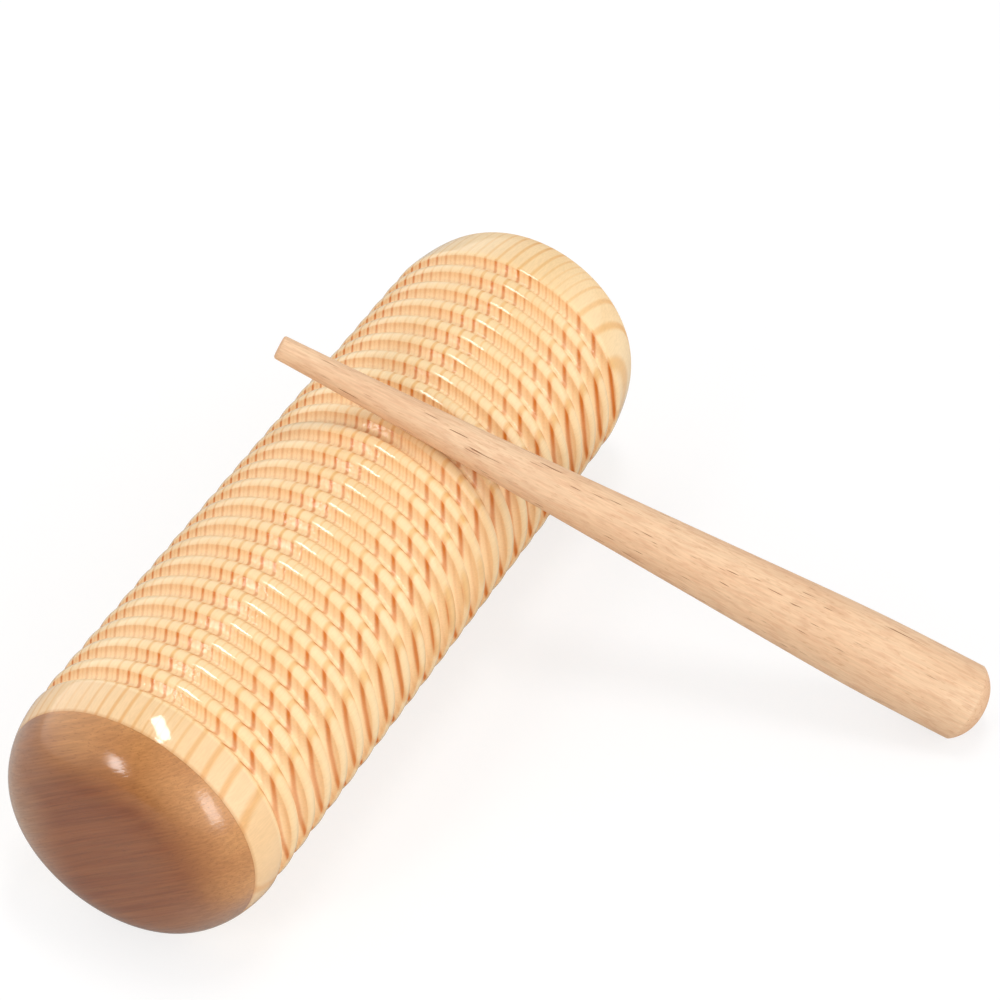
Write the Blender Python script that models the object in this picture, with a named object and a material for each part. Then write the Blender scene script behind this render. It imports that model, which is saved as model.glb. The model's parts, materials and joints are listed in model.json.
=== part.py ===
"""A closed cylindrical guiro with shot inside, and the loose scraper that leans across it.

Frame: metres, +Z up, +Y along the guiro's axis, +X towards the scraper's thick end. The set stands
on z = 0, and the origin is the centre of its footprint.
"""

import math
from collections import namedtuple

import bmesh
import bpy
from mathutils import Matrix, Vector

MM = 0.001
UP = Vector((0, 0, 1))

TurnedEnd = namedtuple("TurnedEnd", "start apex radius power_along power_across")

# The guiro: a ribbed body, bored from the front end and closed there by a hardwood cap that is glued on.
CREST_RADIUS = 32.0 * MM
GROOVE_COUNT = 23
GROOVE_PITCH = 6.93 * MM
GROOVE_DEPTH = 2.1 * MM
GROOVE_FLOOR = 1.0 * MM
CREST_WIDTH = 1.8 * MM
GROOVE_MOUTH = GROOVE_PITCH - CREST_WIDTH
RIBBED_HALF = ((GROOVE_COUNT - 1) * GROOVE_PITCH + GROOVE_MOUTH) / 2
BORE_RADIUS = 24.0 * MM
BORE_END = 84.0 * MM  # from the middle of the guiro to the bottom of the bore
SPIGOT_LENGTH = 8.0 * MM
GLUE_JOINT = 87.2 * MM  # from the middle of the guiro to the cap's shoulder
END_FLAT_RADIUS = 9.5 * MM
# Both ends are superellipses. High powers make a blunt end, and the back end's shoulder is the squarer one.
FRONT_END = TurnedEnd(RIBBED_HALF, 98.4 * MM, CREST_RADIUS, 1.75, 5.2)
BACK_END = TurnedEnd(RIBBED_HALF, 96.9 * MM, CREST_RADIUS, 1.13, 11.0)

# The scraper: a turned stick that widens from its tip to a straight grip with a low domed butt.
SCRAPER_LENGTH = 180.4 * MM
TIP_RADIUS = 2.8 * MM
TIP_EDGE = 0.5 * MM
TAPER_LENGTH = 150.0 * MM
TAPER_POWER = 1.2
TAPER_SOFTNESS = 20
GRIP_RADIUS = 9.3 * MM
BUTT_DOME = 4.4 * MM
BUTT_POWER_ALONG = 1.15
BUTT_POWER_ACROSS = 2.6
TIP_TO_CONTACT = 39.6 * MM
CONTACT_OFFSET = 19.4 * MM  # from the middle of the guiro to the rib that the scraper leans on
HEADING = math.radians(13.7)  # how far the scraper is turned from square across the guiro
STEEPEST_LEAN = math.radians(45)

# The shot that rattles: rows of balls along the bottom of the bore.
SHOT_RADIUS = 2.25 * MM
SHOT_LANES = 2
SHOT_ROWS = 8

GAP = 0.3 * MM
GUIRO_SEGMENTS = 36
SCRAPER_SEGMENTS = 20
JOINT_RINGS = 3
END_RINGS = 9
TAPER_RINGS = 12
BUTT_RINGS = 6


def clear_scene():
    for obj in list(bpy.data.objects):
        bpy.data.objects.remove(obj, do_unlink=True)


def make_material(name, colour, roughness, metallic=0.0):
    material = bpy.data.materials.new(name)
    material.use_nodes = True
    shader = material.node_tree.nodes["Principled BSDF"]
    shader.inputs["Base Color"].default_value = (*colour, 1.0)
    shader.inputs["Roughness"].default_value = roughness
    shader.inputs["Metallic"].default_value = metallic
    return material


def turned_mesh(name, profile, segments):
    """Revolves (along, radius) points, which start and end on the axis, about +Y."""
    shape = bmesh.new()
    points = [shape.verts.new((radius, along, 0)) for along, radius in profile]
    edges = [shape.edges.new(pair) for pair in zip(points, points[1:])]
    # Half a step of turn puts a side of the polygon underneath, and not a corner.
    half_step = Matrix.Rotation(math.pi / segments, 3, "Y")
    bmesh.ops.rotate(shape, verts=points, cent=(0, 0, 0), matrix=half_step)
    bmesh.ops.spin(
        shape,
        geom=points + edges,
        cent=(0, 0, 0),
        axis=(0, 1, 0),
        angle=math.tau,
        steps=segments,
        use_merge=True,
    )
    bmesh.ops.remove_doubles(shape, verts=shape.verts, dist=0.001 * MM)
    bmesh.ops.recalc_face_normals(shape, faces=shape.faces)
    mesh = bpy.data.meshes.new(name)
    shape.to_mesh(mesh)
    shape.free()
    mesh.shade_smooth()
    mesh.set_sharp_from_angle(angle=math.radians(25))
    return mesh


def ball_mesh(name, radius):
    shape = bmesh.new()
    bmesh.ops.create_icosphere(shape, subdivisions=2, radius=radius)
    mesh = bpy.data.meshes.new(name)
    shape.to_mesh(mesh)
    shape.free()
    mesh.shade_smooth()
    return mesh


def add_object(name, mesh, parent, location=(0, 0, 0)):
    obj = bpy.data.objects.new(name, mesh)
    obj.parent = parent
    obj.location = location
    bpy.context.scene.collection.objects.link(obj)
    return obj


def end_curve(end, along_from, along_to, steps):
    """(along, radius) points on a turned end, evenly spaced in the superellipse's own angle."""
    length = end.apex - end.start

    def angle_at(along):
        return math.asin(((along - end.start) / length) ** (end.power_along / 2))

    first = angle_at(along_from)
    last = angle_at(along_to)
    points = []
    for step in range(steps + 1):
        angle = first + (last - first) * step / steps
        along = end.start + length * math.sin(angle) ** (2 / end.power_along)
        radius = end.radius * math.cos(angle) ** (2 / end.power_across)
        points.append((along, radius))
    return points


def flat_station(end):
    """Where the end's curve has come in to the radius of the small flat in its middle."""
    across = (END_FLAT_RADIUS / end.radius) ** end.power_across
    return end.start + (end.apex - end.start) * (1 - across) ** (1 / end.power_along)


def mirrored(points):
    """The outline seen the other way round, still in order of rising station."""
    return [(-along, radius) for along, radius in reversed(points)]


def groove_outline():
    points = []
    for index in range(GROOVE_COUNT):
        middle = (index - (GROOVE_COUNT - 1) / 2) * GROOVE_PITCH
        floor = CREST_RADIUS - GROOVE_DEPTH
        points += [
            (middle - GROOVE_MOUTH / 2, CREST_RADIUS),
            (middle - GROOVE_FLOOR / 2, floor),
            (middle + GROOVE_FLOOR / 2, floor),
            (middle + GROOVE_MOUTH / 2, CREST_RADIUS),
        ]
    return points


def make_body(parent, material):
    """The ribbed body with its blind bore, which is open towards -Y."""
    opening = GLUE_JOINT - GAP / 2
    bore = [(BORE_END, 0), (BORE_END, BORE_RADIUS), (-opening, BORE_RADIUS)]
    front = mirrored(end_curve(FRONT_END, RIBBED_HALF, opening, JOINT_RINGS)[1:])
    flat = flat_station(BACK_END)
    back = end_curve(BACK_END, RIBBED_HALF, flat, END_RINGS)[1:]
    profile = bore + front + groove_outline() + back + [(flat, 0)]
    mesh = turned_mesh("ribbed_body", profile, GUIRO_SEGMENTS)
    mesh.materials.append(material)
    add_object("ribbed_body", mesh, parent)


def make_cap(parent, material):
    """The cap at -Y: a spigot in the bore, a glued shoulder and the turned end."""
    shoulder = GLUE_JOINT + GAP / 2
    spigot_radius = BORE_RADIUS - GAP
    spigot_end = shoulder - SPIGOT_LENGTH
    spigot = [(spigot_end, 0), (spigot_end, spigot_radius), (shoulder, spigot_radius)]
    flat = flat_station(FRONT_END)
    profile = spigot + end_curve(FRONT_END, shoulder, flat, END_RINGS) + [(flat, 0)]
    mesh = turned_mesh("front_cap", mirrored(profile), GUIRO_SEGMENTS)
    mesh.materials.append(material)
    add_object("front_cap", mesh, parent)


def scraper_radius(along):
    """A cone up to the straight grip, with a soft turn between the two."""
    taper = (along / TAPER_LENGTH) ** TAPER_POWER
    eased = taper / (1 + taper**TAPER_SOFTNESS) ** (1 / TAPER_SOFTNESS)
    return TIP_RADIUS + (GRIP_RADIUS - TIP_RADIUS) * eased


def scraper_outline():
    grip_end = SCRAPER_LENGTH - BUTT_DOME
    points = [(0, 0), (0, TIP_RADIUS - TIP_EDGE)]
    for ring in range(TAPER_RINGS + 1):
        along = TIP_EDGE + (grip_end - TIP_EDGE) * ring / TAPER_RINGS
        points.append((along, scraper_radius(along)))
    grip_radius = scraper_radius(grip_end)
    butt = TurnedEnd(grip_end, SCRAPER_LENGTH, grip_radius, BUTT_POWER_ALONG, BUTT_POWER_ACROSS)
    dome = end_curve(butt, grip_end, SCRAPER_LENGTH, BUTT_RINGS)
    return points + dome[1:-1] + [(SCRAPER_LENGTH, 0)]


def scraper_pose(lean):
    """(tip, direction) of the scraper's axis, from the guiro's middle, when it leans on its rib."""
    level = math.cos(lean)
    direction = Vector((level * math.cos(HEADING), level * math.sin(HEADING), -math.sin(lean)))
    away = direction.cross(Vector((0, 1, 0))).normalized()
    distance = CREST_RADIUS + GAP + scraper_radius(TIP_TO_CONTACT)
    contact = Vector((0, CONTACT_OFFSET, 0)) + away * distance
    return contact - direction * TIP_TO_CONTACT, direction


def lowest_height(lean):
    """Height of the scraper's lowest side over the floor, where the guiro lies on a side of its own polygon."""
    tip, direction = scraper_pose(lean)
    guiro_drop = CREST_RADIUS * math.cos(math.pi / GUIRO_SEGMENTS)
    side = math.cos(math.pi / SCRAPER_SEGMENTS) * math.cos(lean)
    return guiro_drop + min(
        tip.z + direction.z * along - radius * side for along, radius in scraper_outline()
    )


def resting_lean():
    """The lean at which the scraper just reaches the floor, found by halving the interval."""
    low = 0.0
    high = STEEPEST_LEAN
    while high - low > 1e-7:
        middle = (low + high) / 2
        if lowest_height(middle) > 0:
            low = middle
        else:
            high = middle
    return low


def make_scraper(parent, material):
    tip, direction = scraper_pose(resting_lean())
    mesh = turned_mesh("scraper", scraper_outline(), SCRAPER_SEGMENTS)
    mesh.materials.append(material)
    scraper = add_object("scraper", mesh, parent, tip)
    scraper.rotation_mode = "QUATERNION"
    scraper.rotation_quaternion = direction.to_track_quat("Y", "Z")


def make_shot(parent, material):
    mesh = ball_mesh("shot", SHOT_RADIUS)
    mesh.materials.append(material)
    spacing = 2 * SHOT_RADIUS + GAP
    # The bore is a polygon, so its flats stand nearer the axis than its corners.
    ride = BORE_RADIUS * math.cos(math.pi / GUIRO_SEGMENTS) - SHOT_RADIUS - GAP
    lane_angle = spacing / ride
    for row in range(SHOT_ROWS):
        for lane in range(SHOT_LANES):
            angle = (lane - (SHOT_LANES - 1) / 2) * lane_angle
            along = (row - (SHOT_ROWS - 1) / 2) * spacing
            place = (ride * math.sin(angle), along, -ride * math.cos(angle))
            add_object(f"shot_{row * SHOT_LANES + lane + 1:02d}", mesh, parent, place)


def stand_on_origin(root):
    """Moves the whole set so that it stands on z = 0 with its footprint centred on the origin."""
    bpy.context.view_layer.update()
    corners = [
        obj.matrix_world @ vertex.co
        for obj in root.children_recursive
        if obj.type == "MESH"
        for vertex in obj.data.vertices
    ]
    low = [min(corner[axis] for corner in corners) for axis in range(3)]
    high = [max(corner[axis] for corner in corners) for axis in range(3)]
    root.location = (-(low[0] + high[0]) / 2, -(low[1] + high[1]) / 2, -low[2])


def main():
    clear_scene()
    pine = make_material("lacquered_pine", (0.86, 0.62, 0.34), 0.25)
    hardwood = make_material("lacquered_hardwood", (0.42, 0.22, 0.10), 0.22)
    beech = make_material("raw_beech", (0.78, 0.52, 0.30), 0.62)
    steel = make_material("steel", (0.55, 0.55, 0.56), 0.3, metallic=1.0)

    root = add_object("guiro_set", None, None)
    shot_carrier = add_object("shot_carrier", None, root)
    make_body(root, pine)
    make_cap(root, hardwood)
    make_scraper(root, beech)
    make_shot(shot_carrier, steel)
    stand_on_origin(root)


main()
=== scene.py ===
"""The looks of the guiro set: lacquered pine ribs, a hardwood cap, a bare wood scraper and the shot inside.

Everything is in metres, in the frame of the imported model: +Z up, +Y along the guiro and away from its cap.
Every piece is turned from an outline. Its vertices carry their own place on the piece, in millimetres, and
the materials work their grain out from that.
"""

import json
import math
import random
from collections import namedtuple

import bpy
import numpy as np
from mathutils import Matrix, Quaternion, Vector

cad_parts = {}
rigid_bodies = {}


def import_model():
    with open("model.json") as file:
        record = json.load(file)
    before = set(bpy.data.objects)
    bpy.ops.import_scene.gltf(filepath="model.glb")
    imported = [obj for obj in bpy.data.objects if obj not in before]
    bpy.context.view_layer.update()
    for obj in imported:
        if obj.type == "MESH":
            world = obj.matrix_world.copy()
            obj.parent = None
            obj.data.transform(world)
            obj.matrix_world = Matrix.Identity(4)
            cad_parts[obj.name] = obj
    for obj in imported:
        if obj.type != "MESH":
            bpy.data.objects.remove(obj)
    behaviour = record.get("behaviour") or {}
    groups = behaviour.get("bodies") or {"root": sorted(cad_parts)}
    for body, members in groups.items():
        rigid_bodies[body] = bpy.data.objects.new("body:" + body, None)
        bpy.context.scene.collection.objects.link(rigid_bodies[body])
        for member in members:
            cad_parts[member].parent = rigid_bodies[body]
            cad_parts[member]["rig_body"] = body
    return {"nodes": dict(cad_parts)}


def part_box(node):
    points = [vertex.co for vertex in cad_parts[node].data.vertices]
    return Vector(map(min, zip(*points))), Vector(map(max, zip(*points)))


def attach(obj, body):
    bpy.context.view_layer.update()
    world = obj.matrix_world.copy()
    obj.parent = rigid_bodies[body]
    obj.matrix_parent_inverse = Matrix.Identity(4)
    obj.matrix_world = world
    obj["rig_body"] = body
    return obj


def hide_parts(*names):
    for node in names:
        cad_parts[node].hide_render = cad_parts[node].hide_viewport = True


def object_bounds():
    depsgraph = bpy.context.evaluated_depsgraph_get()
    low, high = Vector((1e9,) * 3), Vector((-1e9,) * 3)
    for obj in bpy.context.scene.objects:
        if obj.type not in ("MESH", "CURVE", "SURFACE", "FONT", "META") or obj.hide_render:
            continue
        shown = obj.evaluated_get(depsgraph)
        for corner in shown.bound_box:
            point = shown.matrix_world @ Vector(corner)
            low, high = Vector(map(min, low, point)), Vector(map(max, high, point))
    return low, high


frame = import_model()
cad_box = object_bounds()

MM = 0.001
SEED = 7
SHARP_EDGE = math.radians(35)

TurnedEnd = namedtuple("TurnedEnd", "start apex radius power_along power_across")

# The guiro's outline. Its place and its radius come from the frame.
GROOVE_COUNT = 23
GROOVE_PITCH = 6.93 * MM
GROOVE_MOUTH = 5.13 * MM
CREST_ARC = 3.25 * MM
CREST_ANGLE = math.radians(27)
EDGE_ARC = 0.35 * MM
WALL_ANGLE = math.radians(47)
FLOOR_ARC = 0.85 * MM
RIBBED_HALF = ((GROOVE_COUNT - 1) * GROOVE_PITCH + GROOVE_MOUTH) / 2
FRONT_APEX = 98.4 * MM
FRONT_POWERS = (1.75, 5.2)
BACK_APEX = 96.9 * MM
BACK_POWERS = (1.13, 11.0)
GLUE_JOINT = 87.2 * MM
GLUE_LINE = 0.04 * MM
BORE_RADIUS = 24.0 * MM
BORE_END = 84.0 * MM
SPIGOT_RADIUS = 23.7 * MM
SPIGOT_LENGTH = 8.0 * MM
GUIRO_SEGMENTS = 160
JOINT_RINGS = 10
END_RINGS = 40

# The scraper's outline, from tip to butt.
TIP_RADIUS = 2.8 * MM
TIP_EDGE = 0.6 * MM
TAPER_LENGTH = 150.0 * MM
TAPER_POWER = 1.2
TAPER_SOFTNESS = 20
GRIP_RADIUS = 9.3 * MM
BUTT_DOME = 4.4 * MM
BUTT_POWERS = (1.15, 2.6)
SCRAPER_SEGMENTS = 96
SCRAPER_RINGS = 200
BUTT_RINGS = 24

# A ball of shot has a faint ridge round it, where the two halves of its die met.
RIDGE_HEIGHT = 0.02 * MM
RIDGE_WIDTH = math.radians(4)
BALL_SEGMENTS = 48
BALL_RINGS = 36

FLOOR_REACH = 4.0

# The camera, placed from the guiro's middle.
VIEW_AZIMUTH = math.radians(28.129)
VIEW_ELEVATION = math.radians(43.919)
VIEW_TARGET = Vector((36.45, 10.05, 28.19)) * MM
VIEW_DISTANCE = 749.65 * MM
VIEW_LENS = 122.4

# The growth rings of the pine are layers across this direction. Their number rises with the distance along
# it, in crest radii, as start + rate * distance + ease * distance squared. A few lean years crowd extra
# rings into one stretch. In the grooves the rings lean over by RING_LEAN for each millimetre of depth.
RING_DIRECTION = (0.9938, -0.0346, 0.1050)
RING_START = -0.979
RING_RATE = 10.996
RING_EASE = -1.365
LEAN_RINGS = 2.32
LEAN_FROM = 0.274
LEAN_TO = 0.632
RING_WANDER = 0.9
RING_RIPPLE = 0.45
RING_LEAN = 0.33
STRONG_RING = 0.3
STRONG_RING_EVERY = 9.3

# How bright each light looks. The room is a dim white all round, with a change towards each side, and the
# floor glows like a lit sweep of white paper.
ROOM_RADIANCE = 0.07
ROOM_RIGHT = 1.52
ROOM_LEFT = 1.42
ROOM_FRONT = -0.12
ROOM_BACK = 0.20
KEY_RADIANCE = 13.0
FRONT_RADIANCE = 12.0
SIDE_RADIANCE = 6.9
FLOOR_GLOW = 0.70


def srgb(red, green, blue):
    """A screen colour from 0 to 255 as the linear colour that shaders take."""
    levels = [level / 255 for level in (red, green, blue)]
    linear = [
        level / 12.92 if level <= 0.04045 else ((level + 0.055) / 1.055) ** 2.4
        for level in levels
    ]
    return (*linear, 1.0)


# What the frame says


def node_points(node):
    mesh = frame["nodes"][node].data
    points = np.empty(len(mesh.vertices) * 3, np.float32)
    mesh.vertices.foreach_get("co", points)
    return points.reshape(-1, 3).astype(float)


def guiro_axis():
    """(middle, crest radius) of the guiro, whose axis runs along +Y and whose body ends at its back apex."""
    low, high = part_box("ribbed_body")
    middle = Vector(((low.x + high.x) / 2, high.y - BACK_APEX, (low.z + high.z) / 2))
    points = node_points("ribbed_body")
    radius = np.hypot(points[:, 0] - middle.x, points[:, 2] - middle.z).max()
    return middle, float(radius)


def scraper_axis():
    """(tip, direction, length) of the scraper, from the long axis of its CAD solid."""
    points = node_points("scraper")
    middle = points.mean(axis=0)
    direction = np.linalg.svd(points - middle)[2][0]
    if direction[0] < 0:
        direction = -direction
    along = (points - middle) @ direction
    tip = middle + direction * along.min()
    return Vector(tip), Vector(direction), float(along.max() - along.min())


# Turned shapes


def turned_mesh(name, outline, segments):
    """Revolves (along, radius) points about +Y. They start and end on the axis.

    The outer side's points come in order of rising station. The "place" attribute is each vertex's position
    in millimetres. "facing" is -1, 0 or 1 where the surface faces back along the axis, outwards or ahead.
    """
    outline = np.array(outline, float)
    rings = outline[1:-1]
    angles = np.arange(segments) * (math.tau / segments)
    along = rings[:, :1] * np.ones(segments)
    points = np.stack([rings[:, 1:] * np.cos(angles), along, rings[:, 1:] * np.sin(angles)], axis=-1)
    points = np.vstack([points.reshape(-1, 3), [(0, outline[0, 0], 0), (0, outline[-1, 0], 0)]])
    last_ring = (len(rings) - 1) * segments
    first_pole = len(points) - 2
    last_pole = len(points) - 1
    faces = []
    for step in range(segments):
        ahead = (step + 1) % segments
        for here in range(0, last_ring, segments):
            there = here + segments
            faces.append((here + step, there + step, there + ahead, here + ahead))
        faces.append((first_pole, step, ahead))
        faces.append((last_pole, last_ring + ahead, last_ring + step))
    mesh = bpy.data.meshes.new(name)
    mesh.from_pydata(points.tolist(), [], faces)
    mesh.shade_smooth()
    mesh.set_sharp_from_angle(angle=SHARP_EDGE)
    place = mesh.attributes.new("place", "FLOAT_VECTOR", "POINT")
    place.data.foreach_set("vector", (points / MM).astype(np.float32).ravel())
    normals = np.empty(len(points) * 3, np.float32)
    mesh.vertex_normals.foreach_get("vector", normals)
    facing = mesh.attributes.new("facing", "FLOAT", "POINT")
    facing.data.foreach_set("value", np.ascontiguousarray(normals[1::3]))
    return mesh


def add_piece(name, mesh, material, node, location, turn=None):
    """A finished piece in place of its CAD node, which is hidden. It rides on the node's body."""
    if turn is not None:
        mesh.transform(turn.to_matrix().to_4x4())
    mesh.transform(Matrix.Translation(location))
    mesh.materials.append(material)
    piece = bpy.data.objects.new(name, mesh)
    bpy.context.scene.collection.objects.link(piece)
    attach(piece, frame["nodes"][node]["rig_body"])
    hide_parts(node)
    return piece


def arc(radius, first, last, steps):
    """(run, drop) points of a round stretch whose slope turns from first to last, from its own start."""
    slopes = [first + (last - first) * (step + 1) / steps for step in range(steps)]
    return [
        (radius * abs(math.sin(slope) - math.sin(first)), radius * abs(math.cos(slope) - math.cos(first)))
        for slope in slopes
    ]


def groove_side():
    """(run, drop) points from the top of a crest down to the middle of a groove's floor."""
    crest = arc(CREST_ARC, 0, CREST_ANGLE, 3)
    edge = arc(EDGE_ARC, CREST_ANGLE, WALL_ANGLE, 2)
    floor = arc(FLOOR_ARC, WALL_ANGLE, 0, 3)
    wall_run = GROOVE_PITCH / 2 - crest[-1][0] - edge[-1][0] - floor[-1][0]
    wall = [(share * wall_run, share * wall_run * math.tan(WALL_ANGLE)) for share in (0.12, 0.88, 1)]
    points = [(0.0, 0.0)]
    for stretch in (crest, edge, wall, floor):
        run, drop = points[-1]
        points += [(run + more_run, drop + more_drop) for more_run, more_drop in stretch]
    return points


def end_radius(end, along):
    """Radius of a turned end at a station: straight up to its start, then a superellipse."""
    share = max(0.0, along - end.start) / (end.apex - end.start)
    return end.radius * (1 - share**end.power_along) ** (1 / end.power_across)


def end_curve(end, first, last, steps):
    """(along, radius) points on a turned end, evenly spaced in the curve's own angle."""
    length = end.apex - end.start

    def turn_at(along):
        return math.asin(min(1.0, (along - end.start) / length) ** (end.power_along / 2))

    turns = np.linspace(turn_at(first), turn_at(last), steps + 1)
    return [
        (
            end.start + length * math.sin(turn) ** (2 / end.power_along),
            end.radius * abs(math.cos(turn)) ** (2 / end.power_across),
        )
        for turn in turns
    ]


def mirrored(points):
    """The outline seen the other way round, still in order of rising station."""
    return [(-along, radius) for along, radius in reversed(points)]


def rib_outline(front, back):
    """(along, radius) points of all the grooves and the crests between them, in order of rising station."""
    side = groove_side()
    points = []
    for index in range(GROOVE_COUNT):
        floor_middle = (index - (GROOVE_COUNT - 1) / 2) * GROOVE_PITCH
        before = [(floor_middle - GROOVE_PITCH / 2 + run, drop) for run, drop in side]
        after = [(2 * floor_middle - along, drop) for along, drop in before]
        points += before + after[-2:0:-1]
    points.append((GROOVE_COUNT / 2 * GROOVE_PITCH, 0.0))
    return [
        (along, min(end_radius(front, -along), end_radius(back, along)) - drop)
        for along, drop in points
    ]


def make_guiro(pine, hardwood):
    middle, crest_radius = guiro_axis()
    front = TurnedEnd(RIBBED_HALF, FRONT_APEX, crest_radius, *FRONT_POWERS)
    back = TurnedEnd(RIBBED_HALF, BACK_APEX, crest_radius, *BACK_POWERS)

    ribs = rib_outline(front, back)
    opening = GLUE_JOINT - GLUE_LINE / 2
    bore = [(BORE_END, 0), (BORE_END, BORE_RADIUS), (-opening, BORE_RADIUS)]
    near_end = mirrored(end_curve(front, -ribs[0][0], opening, JOINT_RINGS)[1:])
    far_end = end_curve(back, ribs[-1][0], BACK_APEX, END_RINGS)[1:]
    mesh = turned_mesh("guiro_body", bore + near_end + ribs + far_end, GUIRO_SEGMENTS)
    add_piece("guiro_body", mesh, pine, "ribbed_body", middle)

    cap_end = middle.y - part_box("front_cap")[0].y
    shoulder = GLUE_JOINT + GLUE_LINE / 2
    spigot_end = GLUE_JOINT - SPIGOT_LENGTH
    spigot = [(spigot_end, 0), (spigot_end, SPIGOT_RADIUS), (shoulder, SPIGOT_RADIUS)]
    outline = spigot + end_curve(front, shoulder, cap_end, END_RINGS) + [(cap_end, 0)]
    mesh = turned_mesh("guiro_cap", mirrored(outline), GUIRO_SEGMENTS)
    add_piece("guiro_cap", mesh, hardwood, "front_cap", middle)


def scraper_radius(along):
    """A cone up to the straight grip, with a soft turn between the two."""
    taper = (along / TAPER_LENGTH) ** TAPER_POWER
    eased = taper / (1 + taper**TAPER_SOFTNESS) ** (1 / TAPER_SOFTNESS)
    return TIP_RADIUS + (GRIP_RADIUS - TIP_RADIUS) * eased


def scraper_outline(length):
    tip = scraper_radius(TIP_EDGE) - TIP_EDGE
    grip_end = length - BUTT_DOME
    butt = TurnedEnd(grip_end, length, scraper_radius(grip_end), *BUTT_POWERS)
    points = [(0, 0), (0, tip)]
    for turn in np.linspace(0, math.pi / 2, 6)[1:]:
        points.append((TIP_EDGE * (1 - math.cos(turn)), tip + TIP_EDGE * math.sin(turn)))
    stations = np.linspace(TIP_EDGE, grip_end, SCRAPER_RINGS)[1:]
    points += [(along, scraper_radius(along)) for along in stations]
    return points + end_curve(butt, grip_end, length, BUTT_RINGS)[1:-1] + [(length, 0)]


def make_scraper(material):
    tip, direction, length = scraper_axis()
    mesh = turned_mesh("scraper_stick", scraper_outline(length), SCRAPER_SEGMENTS)
    add_piece("scraper_stick", mesh, material, "scraper", tip, direction.to_track_quat("Y", "Z"))


def ball_outline(radius):
    points = []
    for latitude in np.linspace(-math.pi / 2, math.pi / 2, BALL_RINGS + 1):
        reach = radius + RIDGE_HEIGHT * math.exp(-((latitude / RIDGE_WIDTH) ** 2))
        points.append((reach * math.sin(latitude), reach * math.cos(latitude)))
    return points


def make_shot(material):
    """Every ball of shot, each lying at its own angle."""
    draw = random.Random(SEED)
    for node in sorted(name for name in frame["nodes"] if name.startswith("shot_")):
        low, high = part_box(node)
        radius = (high.z - low.z) / 2 - RIDGE_HEIGHT
        name = node.replace("shot", "ball")
        mesh = turned_mesh(name, ball_outline(radius), BALL_SEGMENTS)
        turn = Quaternion([draw.gauss(0, 1) for _ in range(4)]).normalized()
        add_piece(name, mesh, material, node, (low + high) / 2, turn)


# Materials


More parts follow.
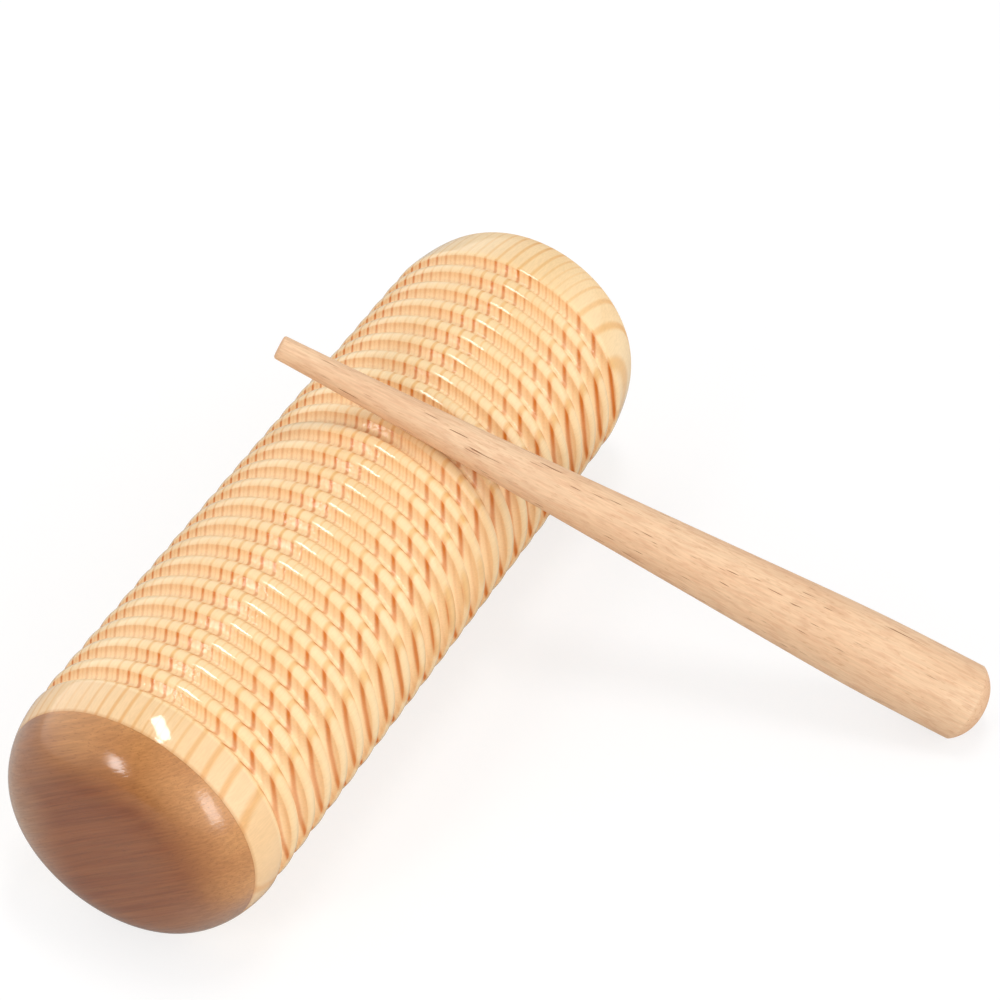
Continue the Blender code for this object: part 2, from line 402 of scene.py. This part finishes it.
class Pattern:
    """A material built one formula at a time. Each method adds a node and returns its result's socket."""

    def __init__(self, name):
        self.material = bpy.data.materials.new(name)
        self.material.use_nodes = True
        self.tree = self.material.node_tree
        self.shader = self.tree.nodes["Principled BSDF"]

    def plug(self, value, socket):
        if isinstance(value, bpy.types.NodeSocket):
            self.tree.links.new(value, socket)
        else:
            socket.default_value = value

    def attribute(self, name, result):
        node = self.tree.nodes.new("ShaderNodeAttribute")
        node.attribute_name = name
        return node.outputs[result]

    def math(self, operation, first, second=0.0, third=0.0):
        node = self.tree.nodes.new("ShaderNodeMath")
        node.operation = operation
        for value, socket in zip((first, second, third), node.inputs):
            self.plug(value, socket)
        return node.outputs[0]

    def scaled(self, vector, scales, shift=(0.0, 0.0, 0.0)):
        node = self.tree.nodes.new("ShaderNodeVectorMath")
        node.operation = "MULTIPLY_ADD"
        for value, socket in zip((vector, scales, shift), node.inputs):
            self.plug(value, socket)
        return node.outputs[0]

    def dot(self, vector, direction):
        node = self.tree.nodes.new("ShaderNodeVectorMath")
        node.operation = "DOT_PRODUCT"
        self.plug(vector, node.inputs[0])
        self.plug(direction, node.inputs[1])
        return node.outputs["Value"]

    def radius(self, place):
        """Distance from the piece's axis."""
        around = self.scaled(place, (1, 0, 1))
        return self.math("SQRT", self.dot(around, around))

    def vector(self, x, y, z):
        node = self.tree.nodes.new("ShaderNodeCombineXYZ")
        for value, socket in zip((x, y, z), node.inputs):
            self.plug(value, socket)
        return node.outputs[0]

    def noise(self, place, spans, detail=2.0, shift=(0.0, 0.0, 0.0)):
        """Smooth noise around 0.5, whose patches are about as large as spans, in the units of place."""
        node = self.tree.nodes.new("ShaderNodeTexNoise")
        scales = tuple(1 / span for span in spans)
        self.plug(self.scaled(place, scales, shift), node.inputs["Vector"])
        node.inputs["Scale"].default_value = 1.0
        node.inputs["Detail"].default_value = detail
        return node.outputs["Fac"]

    def fitted(self, value, low, high, to_low=0.0, to_high=1.0):
        """The value taken from low..high to to_low..to_high with soft ends, and held beyond them."""
        node = self.tree.nodes.new("ShaderNodeMapRange")
        node.interpolation_type = "SMOOTHSTEP"
        for given, socket in zip((value, low, high, to_low, to_high), node.inputs):
            self.plug(given, socket)
        return node.outputs[0]

    def curve(self, value, stops):
        """A level for each value from 0 to 1, through (position, level) stops with soft turns."""
        node = self.tree.nodes.new("ShaderNodeValToRGB")
        node.color_ramp.interpolation = "EASE"
        stretch = node.color_ramp.elements
        for index, (position, level) in enumerate(stops):
            stop = stretch[index] if index < 2 else stretch.new(position)
            stop.position = position
            stop.color = (level, level, level, 1)
        self.plug(value, node.inputs[0])
        return node.outputs[0]

    def mix(self, share, first, second, blend="MIX"):
        node = self.tree.nodes.new("ShaderNodeMix")
        node.data_type = "RGBA"
        node.blend_type = blend
        # The node has sockets for several kinds of data, so the colours' are picked out by type.
        colours = [socket for socket in node.inputs if socket.type == "RGBA"]
        self.plug(share, node.inputs[0])
        self.plug(first, colours[0])
        self.plug(second, colours[1])
        return next(socket for socket in node.outputs if socket.type == "RGBA")

    def shaded(self, colour, shade):
        """The colour made darker or lighter by a factor."""
        return self.mix(1.0, colour, self.vector(shade, shade, shade), "MULTIPLY")

    def bump(self, height, depth, normal=None):
        """Relief whose height goes from 0 to 1 over depth, in metres."""
        node = self.tree.nodes.new("ShaderNodeBump")
        node.inputs["Distance"].default_value = depth
        self.plug(height, node.inputs["Height"])
        if normal is not None:
            self.plug(normal, node.inputs["Normal"])
        return node.outputs[0]

    def finish(self, **surface):
        """Sets the shader's inputs, named in words joined by underscores, and returns the material."""
        for name, value in surface.items():
            self.plug(value, self.shader.inputs[name.replace("_", " ").title().replace("Ior", "IOR")])
        return self.material


def pine_material(crest_radius):
    """Clear lacquer over pine: pale wood and orange late wood in layers. The groove walls are darker and
    oranger, partly for the cut grain and partly as painted shade, and the groove floors are painted paler as
    painted light.
    """
    wood = Pattern("lacquered_pine")
    place = wood.attribute("place", "Vector")
    depth = wood.math("SUBTRACT", crest_radius / MM, wood.radius(place))
    station = wood.dot(place, (0, 1, 0))
    ribbed_half = RIBBED_HALF / MM
    ribbed = wood.fitted(wood.math("ABSOLUTE", station), ribbed_half - 0.2, ribbed_half + 0.2, 1.0, 0.0)
    # The walls and the deeper parts of the grooves are darker and oranger, partly for the cut grain and
    # partly as painted shade.
    deep = wood.math("MULTIPLY", wood.fitted(depth, 0.2, 1.8), ribbed)
    # Painted light: the floors of the grooves are made paler.
    bottom_light = wood.math("MULTIPLY", wood.fitted(depth, 0.6, 1.9), ribbed)
    facing = wood.attribute("facing", "Fac")
    cut_grain_and_shade = wood.fitted(wood.math("ABSOLUTE", facing), 0.1, 0.85)
    cut_grain_and_shade = wood.math("MULTIPLY", cut_grain_and_shade, wood.math("MULTIPLY_ADD", ribbed, 0.65, 0.35))
    wall = wood.math("MAXIMUM", cut_grain_and_shade, deep)

    wander = wood.math("SUBTRACT", wood.noise(place, (45, 70, 45), 1), 0.5)
    ripple = wood.math("SUBTRACT", wood.noise(place, (7, 22, 7), 1), 0.5)
    across = wood.dot(place, RING_DIRECTION)
    across = wood.math("MULTIPLY_ADD", wander, RING_WANDER, across)
    across = wood.math("MULTIPLY_ADD", ripple, RING_RIPPLE, across)
    lean = wood.math("MULTIPLY", wood.math("SUBTRACT", 1.0, depth), ribbed)
    across = wood.math("MULTIPLY_ADD", lean, RING_LEAN, across)
    layer = wood.math("DIVIDE", across, crest_radius / MM)
    rate = wood.math("MULTIPLY_ADD", layer, RING_EASE, RING_RATE)
    rings = wood.math("MULTIPLY_ADD", layer, rate, RING_START)
    rings = wood.math("ADD", rings, wood.fitted(layer, LEAN_FROM, LEAN_TO, 0, LEAN_RINGS))

    # Late wood straddles each ring's whole number.
    phase = wood.math("FRACT", wood.math("ADD", rings, 0.5))
    late = wood.curve(phase, [(0.28, 0), (0.70, 0), (0.46, 1.0), (0.53, 1.0)])
    number = wood.math("FLOOR", wood.math("ADD", rings, 0.5))
    beat = wood.math("SUBTRACT", number, STRONG_RING)
    beat = wood.math("COSINE", wood.math("MULTIPLY", beat, math.tau / STRONG_RING_EVERY))
    strength = wood.math("MULTIPLY_ADD", beat, 0.35, 0.68)
    late = wood.math("MULTIPLY", late, strength)

    # Each ring also has a faint line of its own, half way between two bands of late wood.
    false_ring = wood.curve(wood.math("FRACT", rings), [(0.36, 0), (0.64, 0), (0.50, 0.20)])
    late = wood.math("MAXIMUM", late, wood.math("MULTIPLY", false_ring, wall))

    # The floors of the grooves are painted paler and their late wood fainter: painted light that lifts the
    # shade down there.
    late = wood.math("MULTIPLY", late, wood.math("MULTIPLY_ADD", bottom_light, -0.35, 1.0))

    fibre = wood.noise(place, (0.35, 8, 0.35), 2)
    cloud = wood.noise(place, (14, 50, 14), 2, (5, 5, 5))
    pale = wood.mix(wood.fitted(cloud, 0.3, 0.7), srgb(249, 218, 168), srgb(246, 210, 157))
    # Painted shade: the colours below are darker and oranger on the groove walls.
    pale = wood.mix(wall, pale, srgb(239, 191, 135))
    # Painted light: paler colour at the groove floors.
    pale = wood.mix(bottom_light, pale, srgb(250, 216, 168))
    dark = wood.mix(wall, srgb(238, 188, 122), srgb(204, 106, 6))
    colour = wood.mix(late, pale, dark)

    # The near band is browner, most of all at the joint.
    near_band = wood.fitted(station, -ribbed_half - 1.0, -ribbed_half, 1.0, 0.0)
    tint = wood.mix(near_band, srgb(255, 255, 255), srgb(245, 238, 236))
    colour = wood.mix(1.0, colour, tint, "MULTIPLY")
    joint = wood.fitted(station, -GLUE_JOINT / MM, -GLUE_JOINT / MM + 0.9, 0.55, 0.0)
    colour = wood.mix(joint, colour, srgb(204, 146, 88))
    colour = wood.shaded(colour, wood.fitted(fibre, 0.25, 0.75, 0.95, 1.03))

    torn = wood.noise(place, (0.9, 1.4, 0.9), 3, (9, 9, 9))
    relief = wood.math("MULTIPLY", torn, wood.math("MULTIPLY_ADD", wall, 0.96, 0.04))
    lacquer = wood.noise(place, (3.5, 6, 3.5), 1, (2, 2, 2))
    rough = wood.bump(relief, 0.13 * MM)
    smooth = wood.bump(lacquer, 0.03 * MM, rough)

    # The lacquer is thinner in the grooves, most of all where they face the far end.
    sprayed = wood.fitted(facing, 0.1, 0.6, 1.0, 0.1)
    return wood.finish(
        base_color=colour,
        roughness=0.5,
        specular_ior_level=0.1,
        normal=rough,
        coat_weight=wood.math("MULTIPLY", sprayed, wood.fitted(wall, 0, 1, 1.0, 0.5)),
        coat_ior=1.6,
        coat_roughness=0.09,
        coat_normal=smooth,
    )


def hardwood_material():
    """Clear lacquer over a fine brown hardwood, whose grain runs across the cap."""
    wood = Pattern("lacquered_hardwood")
    place = wood.attribute("place", "Vector")
    bend = wood.noise(place, (60, 60, 60), 0, (4, 4, 4))
    along = wood.dot(place, (0.814, 0.0, 0.581))
    across = wood.math("MULTIPLY_ADD", bend, 9.0, wood.dot(place, (-0.558, 0.28, 0.781)))
    depth = wood.dot(place, (0.163, 0.96, -0.228))
    grain = wood.vector(across, along, depth)
    line = wood.noise(grain, (0.42, 22, 1.2), 2)
    band = wood.noise(grain, (1.8, 36, 5), 2, (3, 3, 3))
    cloud = wood.noise(grain, (14, 26, 14), 1, (7, 7, 7))

    # The cap is painted lighter at its upper rim, as if lit from above, and is left redder and darker in the
    # middle as painted shade. Its lower and left rim are painted paler as painted light.
    radius = wood.radius(place)
    high_up = wood.fitted(wood.dot(place, (0.55, 0, 0.83)), 2, 14)
    lit_upper_rim = wood.math("MULTIPLY", high_up, wood.fitted(radius, 18, 32))
    colour = wood.mix(lit_upper_rim, srgb(131, 71, 36), srgb(203, 145, 88))
    low_rim = wood.math("SUBTRACT", 1.0, high_up)
    low_rim = wood.math("MULTIPLY", low_rim, wood.fitted(radius, 14, 29, 0.0, 0.5))
    # Painted light: the lower and left rim are paler, standing in for light reflected there.
    painted_rim_light = wood.math("MAXIMUM", low_rim, wood.fitted(wood.dot(place, (-0.97, 0, -0.2)), 8, 28, 0.0, 1.0))
    colour = wood.mix(painted_rim_light, colour, srgb(184, 148, 118))
    colour = wood.mix(wood.fitted(band, 0.3, 0.7, 0.0, 0.26), colour, srgb(172, 114, 68))
    colour = wood.mix(wood.fitted(cloud, 0.35, 0.65, 0.0, 0.3), colour, srgb(150, 86, 40))
    colour = wood.shaded(colour, wood.fitted(line, 0.25, 0.75, 0.87, 1.10))
    pore = wood.fitted(wood.noise(grain, (0.3, 1.6, 0.3), 0, (1, 1, 1)), 0.66, 0.76)
    colour = wood.mix(wood.math("MULTIPLY", pore, 0.22), colour, srgb(104, 62, 38))
    lacquer = wood.noise(place, (3.5, 3.5, 3.5), 1)
    fine = wood.bump(line, 0.03 * MM)
    smooth = wood.bump(lacquer, 0.02 * MM, fine)
    return wood.finish(
        base_color=colour,
        roughness=0.5,
        specular_ior_level=0.1,
        normal=fine,
        coat_weight=1.0,
        coat_roughness=0.15,
        coat_normal=smooth,
    )


def beech_material():
    """Bare sanded beech: pale and softly mottled, with fine streaks, small pores and short dark checks."""
    wood = Pattern("raw_beech")
    place = wood.attribute("place", "Vector")
    streak = wood.noise(place, (0.32, 9, 0.32), 3)
    mottle = wood.noise(place, (0.9, 4.5, 0.9), 3, (3, 3, 3))
    cloud = wood.noise(place, (9, 40, 9), 2, (4, 4, 4))
    colour = wood.mix(wood.fitted(cloud, 0.3, 0.7), srgb(235, 198, 160), srgb(228, 186, 147))
    colour = wood.mix(wood.fitted(mottle, 0.42, 0.7, 0.0, 0.5), colour, srgb(212, 162, 125))
    colour = wood.shaded(colour, wood.fitted(streak, 0.25, 0.75, 0.92, 1.05))
    pore = wood.fitted(wood.noise(place, (0.3, 2.0, 0.3), 0, (8, 8, 8)), 0.68, 0.78)
    colour = wood.mix(wood.math("MULTIPLY", pore, 0.28), colour, srgb(190, 134, 90))
    check = wood.fitted(wood.noise(place, (0.45, 20, 0.45), 1, (6, 6, 6)), 0.69, 0.74)
    colour = wood.mix(wood.math("MULTIPLY", check, 0.9), colour, srgb(140, 76, 34))
    cut = wood.fitted(wood.math("ABSOLUTE", wood.attribute("facing", "Fac")), 0.25, 0.9)
    colour = wood.mix(wood.math("MULTIPLY", cut, 0.3), colour, srgb(196, 136, 90))
    sanding = wood.noise(place, (0.25, 1.2, 0.25), 2, (2, 2, 2))
    sunk = wood.math("MULTIPLY_ADD", check, 1.2, wood.math("MULTIPLY", pore, 0.5))
    relief = wood.math("SUBTRACT", sanding, sunk)
    return wood.finish(
        base_color=colour,
        roughness=wood.fitted(streak, 0.25, 0.75, 0.68, 0.56),
        normal=wood.bump(relief, 0.05 * MM),
    )


def steel_material():
    """Plain steel shot, dull with fine scratches and a few darker spots."""
    steel = Pattern("steel_shot")
    place = steel.attribute("place", "Vector")
    spot = steel.fitted(steel.noise(place, (0.7, 0.7, 0.7), 3), 0.5, 0.72)
    scratch = steel.noise(place, (0.06, 0.9, 0.06), 2, (3, 3, 3))
    return steel.finish(
        base_color=steel.mix(spot, srgb(196, 197, 200), srgb(132, 130, 128)),
        metallic=1.0,
        roughness=steel.fitted(spot, 0, 1, 0.26, 0.5),
        normal=steel.bump(scratch, 0.005 * MM),
    )


# The studio


def floor_material():
    """White paper. Only the camera sees it glow, and the wood and its lacquer are lit by a duller one."""
    paper = Pattern("pale_floor")
    light_path = paper.tree.nodes.new("ShaderNodeLightPath")
    seen = light_path.outputs["Is Camera Ray"]
    place = paper.tree.nodes.new("ShaderNodeTexCoord").outputs["Object"]
    tone = paper.fitted(paper.noise(place, (0.3, 0.3, 0.3), 1), 0.3, 0.7)
    paper_colour = paper.mix(tone, srgb(146, 146, 147), srgb(150, 150, 150))
    unseen_colour = paper.mix(light_path.outputs["Is Glossy Ray"], srgb(214, 214, 214), srgb(186, 186, 186))
    return paper.finish(
        base_color=paper.mix(seen, unseen_colour, paper_colour),
        roughness=0.9,
        emission_color=(1, 1, 1, 1),
        emission_strength=paper.math("MULTIPLY", seen, FLOOR_GLOW),
    )


def make_floor(height):
    reach = FLOOR_REACH
    corners = [(-reach, -reach, 0), (reach, -reach, 0), (reach, reach, 0), (-reach, reach, 0)]
    mesh = bpy.data.meshes.new("floor")
    mesh.from_pydata(corners, [], [(0, 1, 2, 3)])
    mesh.materials.append(floor_material())
    floor = bpy.data.objects.new("floor", mesh)
    floor.location.z = height
    bpy.context.scene.collection.objects.link(floor)


def softbox(name, middle, direction, distance, width, height, radiance, roll=0.0):
    """A rectangular lamp that faces the guiro's middle, as bright per area as radiance says."""
    lamp = bpy.data.lights.new(name, "AREA")
    lamp.shape = "RECTANGLE"
    lamp.size = width
    lamp.size_y = height
    lamp.energy = radiance * math.pi * width * height
    direction = Vector(direction).normalized()
    box = bpy.data.objects.new(name, lamp)
    box.location = middle + direction * distance
    box.rotation_mode = "QUATERNION"
    box.rotation_quaternion = direction.to_track_quat("Z", "Y") @ Quaternion((0, 0, 1), math.radians(roll))
    bpy.context.scene.collection.objects.link(box)


def make_room():
    """Dim white light from all round, with the change towards each side added."""
    world = bpy.data.worlds.new("white_room")
    world.use_nodes = True
    tree = world.node_tree
    split = tree.nodes.new("ShaderNodeSeparateXYZ")
    tree.links.new(tree.nodes.new("ShaderNodeTexCoord").outputs["Generated"], split.inputs[0])
    background = tree.nodes["Background"]
    background.inputs["Color"].default_value = (1, 1, 1, 1)
    total = background.inputs["Strength"]
    total.default_value = ROOM_RADIANCE
    sides = (("X", 1, ROOM_RIGHT), ("X", -1, ROOM_LEFT), ("Y", -1, ROOM_FRONT), ("Y", 1, ROOM_BACK))
    for axis, sign, change in sides:
        towards = tree.nodes.new("ShaderNodeMath")
        towards.operation = "MULTIPLY"
        towards.use_clamp = True
        tree.links.new(split.outputs[axis], towards.inputs[0])
        towards.inputs[1].default_value = sign
        added = tree.nodes.new("ShaderNodeMath")
        added.operation = "MULTIPLY_ADD"
        tree.links.new(towards.outputs[0], added.inputs[0])
        added.inputs[1].default_value = change
        added.inputs[2].default_value = ROOM_RADIANCE
        tree.links.new(added.outputs[0], total)
        total = added.inputs[2]
    bpy.context.scene.world = world


def make_studio(middle):
    make_room()
    bpy.context.scene.view_settings.view_transform = "Standard"
    softbox("key", middle, (0.06, 0.07, 0.995), 1.3, 0.48, 0.20, KEY_RADIANCE)
    softbox("front", middle, (-0.25, -0.81, 0.53), 1.2, 0.20, 0.40, FRONT_RADIANCE, roll=15)
    softbox("side", middle, (0.87, -0.39, 0.31), 1.2, 0.28, 0.50, SIDE_RADIANCE)


def make_camera(middle):
    back = Vector(
        (
            math.sin(VIEW_AZIMUTH) * math.cos(VIEW_ELEVATION),
            -math.cos(VIEW_AZIMUTH) * math.cos(VIEW_ELEVATION),
            math.sin(VIEW_ELEVATION),
        )
    )
    lens = bpy.data.cameras.new("camera")
    lens.lens = VIEW_LENS
    lens.clip_start = 0.01
    lens.clip_end = 20
    camera = bpy.data.objects.new("camera", lens)
    camera.location = middle + VIEW_TARGET + back * VIEW_DISTANCE
    camera.rotation_mode = "QUATERNION"
    camera.rotation_quaternion = back.to_track_quat("Z", "Y")
    bpy.context.scene.collection.objects.link(camera)
    bpy.context.scene.camera = camera


def main():
    make_guiro(pine_material(guiro_axis()[1]), hardwood_material())
    make_scraper(beech_material())
    make_shot(steel_material())
    middle, crest_radius = guiro_axis()
    make_floor(min(cad_box[0].z, middle.z - crest_radius))
    make_studio(middle)
    make_camera(middle)


main()
